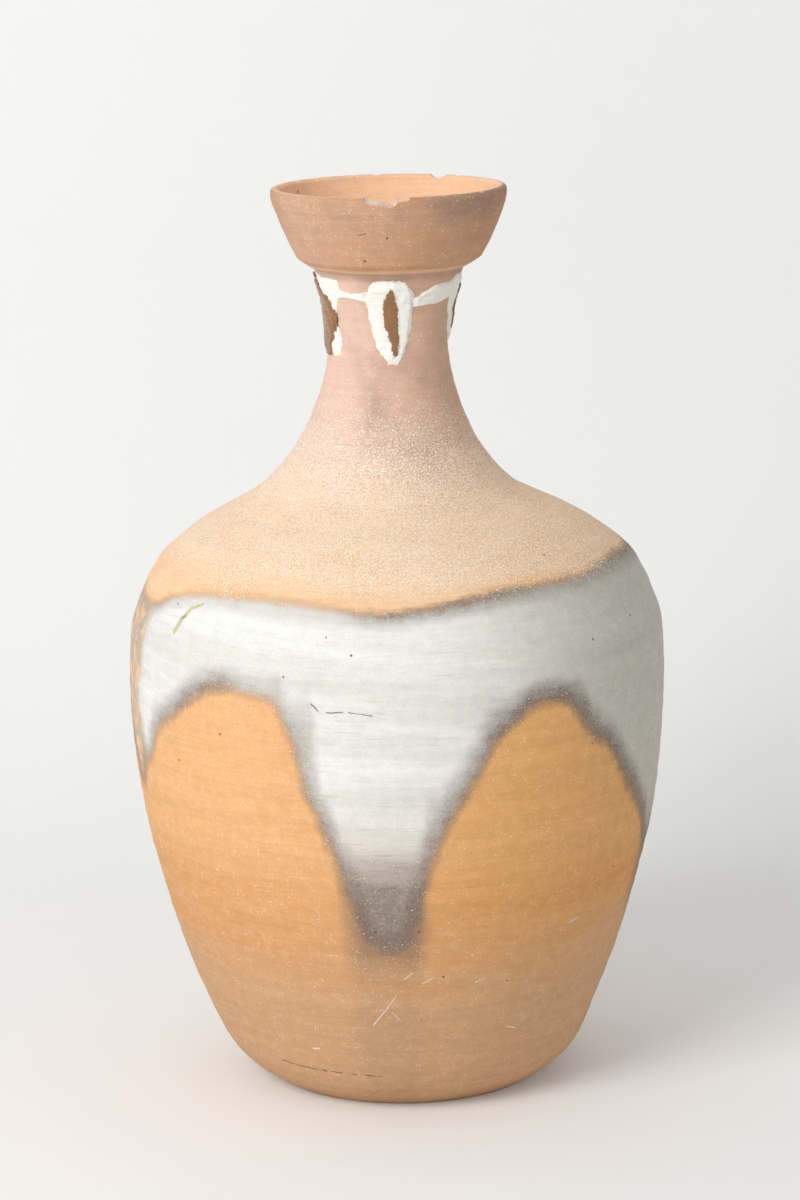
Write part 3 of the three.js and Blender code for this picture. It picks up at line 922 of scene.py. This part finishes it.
# Faces across and up each kind of skin
PATCH_GRID = (64, 96)
STRAND_GRID = (90, 24)
RESIN_GRID = (48, 96)
SKIN_WALL = 0.5 * MM
# The putty is pressed this far into the clay, and lies thinner in the strands and under the resin
PUTTY_BASE = -0.1
THIN_SHARE = 0.8


def along(points, value):
    """Straight-line reading of a list of (place, value) points."""
    for (a, va), (b, vb) in zip(points, points[1:]):
        if value <= b:
            break
    share = min(1.0, max(0.0, (value - a) / (b - a)))
    return va + (vb - va) * share


def spread(values):
    return [(i / (len(values) - 1), v) for i, v in enumerate(values)]


def patch_place(shape):
    left, right = shape
    top, bottom = left[0][0], left[-1][0]

    def place(s, t):
        drop = bottom + (top - bottom) * t
        return along(left, drop) * (1 - s) + along(right, drop) * s, CREASE - drop

    return place


def strand_place(start, end, upper, lower):
    wrap = 360.0 if PUTTY[end][0][0][1] < PUTTY[start][1][0][1] else 0.0

    def place(s, t):
        drop = along(spread(lower), s) * (1 - t) + along(spread(upper), s) * t
        first = along(PUTTY[start][1], drop) - STRAND_TUCK
        last = along(PUTTY[end][0], drop) + wrap + STRAND_TUCK
        return first * (1 - s) + last * s, CREASE - drop

    return place


def resin_bleed(side, angle, z):
    """How strongly the resin on one side has stained the putty at a place, from 0 to 1."""
    left, right = RESIN[side]
    drop = CREASE - z
    arc = math.radians(BODY.at(z))
    aside = max(along(left, drop) - angle, angle - along(right, drop), 0.0) * arc
    beyond = max(left[0][0] - drop, drop - left[-1][0], 0.0)
    return 1 - smooth_step(*STAIN_FADE, math.hypot(aside, beyond))


def smear(name, sizes, place, grid, layer, ragged, seed, stain_of):
    """A smeared skin on the neck: a grid laid on the clay, thick in the middle and torn at its edge."""
    columns, rows = grid
    base, thickness = layer
    clear_selection()
    bpy.ops.mesh.primitive_grid_add(x_subdivisions=columns, y_subdivisions=rows, size=2.0, location=(0, 0, 0))
    piece = bpy.context.object
    piece.name = name
    piece.data.name = name
    mesh = piece.data
    stain = mesh.attributes.new("stain", "FLOAT", "POINT")
    for vertex in mesh.vertices:
        s, t = (vertex.co.x + 1) / 2, (vertex.co.y + 1) / 2
        rim = min(s, 1 - s, t, 1 - t)
        angle, z = place(s, t)
        tear = noise.noise(Vector((angle * 0.11 + seed, z * 0.22, seed))) * ragged
        tear += noise.noise(Vector((angle * 0.45, z * 0.8, seed + 5))) * ragged * 0.7
        tear += noise.noise(Vector((angle * 1.1, z * 2.0, seed + 7))) * ragged * 0.3
        pull = max(0.0, 1 - rim * 5)
        angle += tear * pull * 1.7 * (1 if s > 0.5 else -1)
        z += tear * pull * (1 if t > 0.5 else -1)
        lumps = noise.noise(Vector((angle * 0.16, z * 0.24, seed + 9)))
        knife = noise.noise(Vector((angle * 0.06, z * 0.8, seed + 13)))
        crumbs = noise.noise(Vector((angle * 0.9, z * 1.6, seed + 17)))
        rise = smooth_step(0.0, 0.13, rim) * (1 + 0.3 * lumps + 0.26 * knife + 0.12 * crumbs)
        vertex.co = clay_point(sizes, BODY.at(z) + base + thickness * rise, angle, z)
        stain.data[vertex.index].value = stain_of(angle, z, rim)
    mesh.update()
    bpy.ops.object.mode_set(mode="EDIT")
    bpy.ops.mesh.select_all(action="SELECT")
    bpy.ops.mesh.normals_make_consistent(inside=False)
    bpy.ops.object.mode_set(mode="OBJECT")
    if sum(face.normal.x * face.center.x + face.normal.y * face.center.y for face in mesh.polygons) < 0:
        mesh.flip_normals()
    wall = piece.modifiers.new("wall", "SOLIDIFY")
    wall.thickness = SKIN_WALL
    wall.offset = -1.0
    bpy.ops.object.modifier_apply(modifier=wall.name)
    smooth_faces(piece, SKIN_CREASE)
    return piece


def smear_putty(settings):
    sizes = settings.throwing
    depth = settings.mend.putty_depth / MM
    material = material_of("lime_putty", putty_material, settings.mend)
    for seed, (side, shape) in enumerate(PUTTY.items()):
        node = "putty_patch_" + side

        def bleed(angle, z, rim):
            return resin_bleed(side, angle, z)

        piece = smear(node + "_smeared", sizes, patch_place(shape), PATCH_GRID, (PUTTY_BASE, depth), 1.0,
                      seed * 11.3, bleed)
        settle(piece, material, node)
    for seed, (run, shape) in enumerate(STRANDS.items()):
        node = "putty_strand_" + run
        layer = (PUTTY_BASE, depth * THIN_SHARE)
        piece = smear(node + "_smeared", sizes, strand_place(*shape), STRAND_GRID, layer, 0.6,
                      seed * 7.7 + 60, lambda angle, z, rim: 0.0)
        settle(piece, material, node)


def drip_resin(settings):
    sizes = settings.throwing
    depth = settings.mend.resin_depth / MM
    base = settings.mend.putty_depth / MM * THIN_SHARE
    material = material_of("resin", resin_material, settings.mend)
    for seed, (side, shape) in enumerate(RESIN.items()):
        node = "resin_streak_" + side
        piece = smear(node + "_set", sizes, patch_place(shape), RESIN_GRID, (base, depth), 1.3,
                      seed * 5.1 + 30, lambda angle, z, rim: 1 - smooth_step(0.0, 0.2, rim))
        settle(piece, material, node)


# Floor and backdrop, in metres
FLOOR_SIZE = (9.0, 3.2, 1.0)
FLOOR_PLACE = (0, -0.9, 0)
BACKDROP_HEIGHT = 3.5
COVE_RADIUS = 0.35
# Lamps: place, the point that they face, and width, in metres
KEY_LAMP = ((-1.35, -1.75, 1.55), (0, 0, 0.24), 1.3)
FILL_LAMP = ((1.9, -1.6, 1.0), (0, 0, 0.2), 1.6)
SKY_COLOUR = (0.99, 0.995, 1.0, 1.0)


def lay_floor(studio):
    """A floor that curves up into a backdrop."""
    clear_selection()
    bpy.ops.mesh.primitive_plane_add(size=1.0, location=(0, 0, 0))
    sweep = bpy.context.object
    sweep.name = "plain_backdrop"
    bpy.ops.transform.resize(value=FLOOR_SIZE)
    bpy.ops.transform.translate(value=FLOOR_PLACE)
    bpy.ops.object.transform_apply(location=True, rotation=True, scale=True)
    bpy.ops.object.mode_set(mode="EDIT")
    bpy.ops.mesh.select_mode(type="EDGE")
    bpy.ops.mesh.select_all(action="DESELECT")
    edges = bmesh.from_edit_mesh(sweep.data)
    for edge in edges.edges:
        edge.select = all(v.co.y > 0 for v in edge.verts)
    bmesh.update_edit_mesh(sweep.data)
    bpy.ops.mesh.extrude_region_move(TRANSFORM_OT_translate={"value": (0, 0, BACKDROP_HEIGHT)})
    bpy.ops.object.mode_set(mode="OBJECT")
    cove = sweep.modifiers.new("cove", "BEVEL")
    cove.width = COVE_RADIUS
    cove.segments = 16
    bpy.ops.object.modifier_apply(modifier=cove.name)
    smooth_faces(sweep, SKIN_CREASE)
    sweep.data.materials.append(plaster_material(studio))


def hang_lamp(name, place, aim, width, power):
    clear_selection()
    bpy.ops.object.light_add(type="AREA", location=place)
    lamp = bpy.context.object
    lamp.name = name
    lamp.data.shape = "SQUARE"
    lamp.data.size = width
    lamp.data.energy = power
    lamp.rotation_euler = (Vector(aim) - Vector(place)).to_track_quat("-Z", "Y").to_euler()


def set_sky(strength):
    world = bpy.data.worlds.new("studio")
    bpy.context.scene.world = world
    world.use_nodes = True
    sky = world.node_tree.nodes["Background"].inputs
    sky["Color"].default_value = SKY_COLOUR
    sky["Strength"].default_value = strength


def place_camera(studio):
    clear_selection()
    bpy.ops.object.camera_add(location=(0, -studio.distance, studio.height))
    camera = bpy.context.object
    camera.data.lens = studio.lens
    camera.rotation_euler = (math.pi / 2 - studio.pitch, 0, -studio.yaw)
    level = camera.rotation_euler.to_quaternion()
    camera.rotation_euler = (level @ Quaternion((0, 0, 1), -studio.roll)).to_euler()
    bpy.context.scene.camera = camera
    bpy.context.scene.view_settings.view_transform = "Standard"


class VASE_OT_throw_foot(bpy.types.Operator):
    """Turn the foot slab and the foot wall that stands on it"""
    bl_idname = "clay_vase.throw_foot"
    bl_label = "Throw Foot"

    def execute(self, context):
        throw_section(context.scene.clay_vase, "foot_slab")
        throw_section(context.scene.clay_vase, "foot_wall")
        return {"FINISHED"}


class VASE_OT_throw_belly(bpy.types.Operator):
    """Turn the belly wall between the foot and the shoulder"""
    bl_idname = "clay_vase.throw_belly"
    bl_label = "Throw Belly"

    def execute(self, context):
        throw_section(context.scene.clay_vase, "belly_wall")
        return {"FINISHED"}


class VASE_OT_throw_shoulder(bpy.types.Operator):
    """Turn the shoulder that closes in to the neck"""
    bl_idname = "clay_vase.throw_shoulder"
    bl_label = "Throw Shoulder"

    def execute(self, context):
        throw_section(context.scene.clay_vase, "shoulder")
        return {"FINISHED"}


class VASE_OT_throw_neck(bpy.types.Operator):
    """Turn the neck up to the crease under the cup"""
    bl_idname = "clay_vase.throw_neck"
    bl_label = "Throw Neck"

    def execute(self, context):
        throw_section(context.scene.clay_vase, "neck")
        return {"FINISHED"}


class VASE_OT_throw_cup(bpy.types.Operator):
    """Turn the cup mouth and break the chips from its lip"""
    bl_idname = "clay_vase.throw_cup"
    bl_label = "Throw Cup"

    def execute(self, context):
        throw_cup(context.scene.clay_vase)
        return {"FINISHED"}


class VASE_OT_smear_putty(bpy.types.Operator):
    """Smear lime putty over the four lug scars and between them"""
    bl_idname = "clay_vase.smear_putty"
    bl_label = "Smear Putty"

    def execute(self, context):
        smear_putty(context.scene.clay_vase)
        return {"FINISHED"}


class VASE_OT_drip_resin(bpy.types.Operator):
    """Drip dark resin on the four patches of putty"""
    bl_idname = "clay_vase.drip_resin"
    bl_label = "Drip Resin"

    def execute(self, context):
        drip_resin(context.scene.clay_vase)
        return {"FINISHED"}


class VASE_OT_set_stage(bpy.types.Operator):
    """Lay the floor, hang the lamps and place the camera"""
    bl_idname = "clay_vase.set_stage"
    bl_label = "Set Stage"

    def execute(self, context):
        studio = context.scene.clay_vase.studio
        lay_floor(studio)
        set_sky(studio.sky)
        hang_lamp("key", *KEY_LAMP, studio.key)
        hang_lamp("fill", *FILL_LAMP, studio.fill)
        place_camera(studio)
        return {"FINISHED"}


OPERATORS = (
    VASE_OT_throw_foot, VASE_OT_throw_belly, VASE_OT_throw_shoulder, VASE_OT_throw_neck, VASE_OT_throw_cup,
    VASE_OT_smear_putty, VASE_OT_drip_resin, VASE_OT_set_stage,
)


class VASE_PT_workshop(bpy.types.Panel):
    """The steps of the vase in order, and what a user can change"""
    bl_idname = "VASE_PT_workshop"
    bl_label = "Clay Vase"
    bl_space_type = "VIEW_3D"
    bl_region_type = "UI"
    bl_category = "Clay Vase"

    def draw(self, context):
        settings = context.scene.clay_vase
        for operator in OPERATORS:
            self.layout.operator(operator.bl_idname)
        for group in (settings.throwing, settings.clay, settings.mend, settings.studio):
            box = self.layout.box()
            for name in group.bl_rna.properties.keys():
                if name not in ("rna_type", "name"):
                    box.prop(group, name)


CLASSES = (ThrowingSizes, ClayTones, MendTones, StudioSizes, VaseSettings, *OPERATORS, VASE_PT_workshop)


def register():
    for made in CLASSES:
        bpy.utils.register_class(made)
    bpy.types.Scene.clay_vase = bpy.props.PointerProperty(type=VaseSettings)


def unregister():
    del bpy.types.Scene.clay_vase
    for made in reversed(CLASSES):
        bpy.utils.unregister_class(made)


def main():
    register()
    bpy.ops.clay_vase.throw_foot()
    bpy.ops.clay_vase.throw_belly()
    bpy.ops.clay_vase.throw_shoulder()
    bpy.ops.clay_vase.throw_neck()
    bpy.ops.clay_vase.throw_cup()
    bpy.ops.clay_vase.smear_putty()
    bpy.ops.clay_vase.drip_resin()
    bpy.ops.clay_vase.set_stage()


if __name__ == "__main__":
    main()
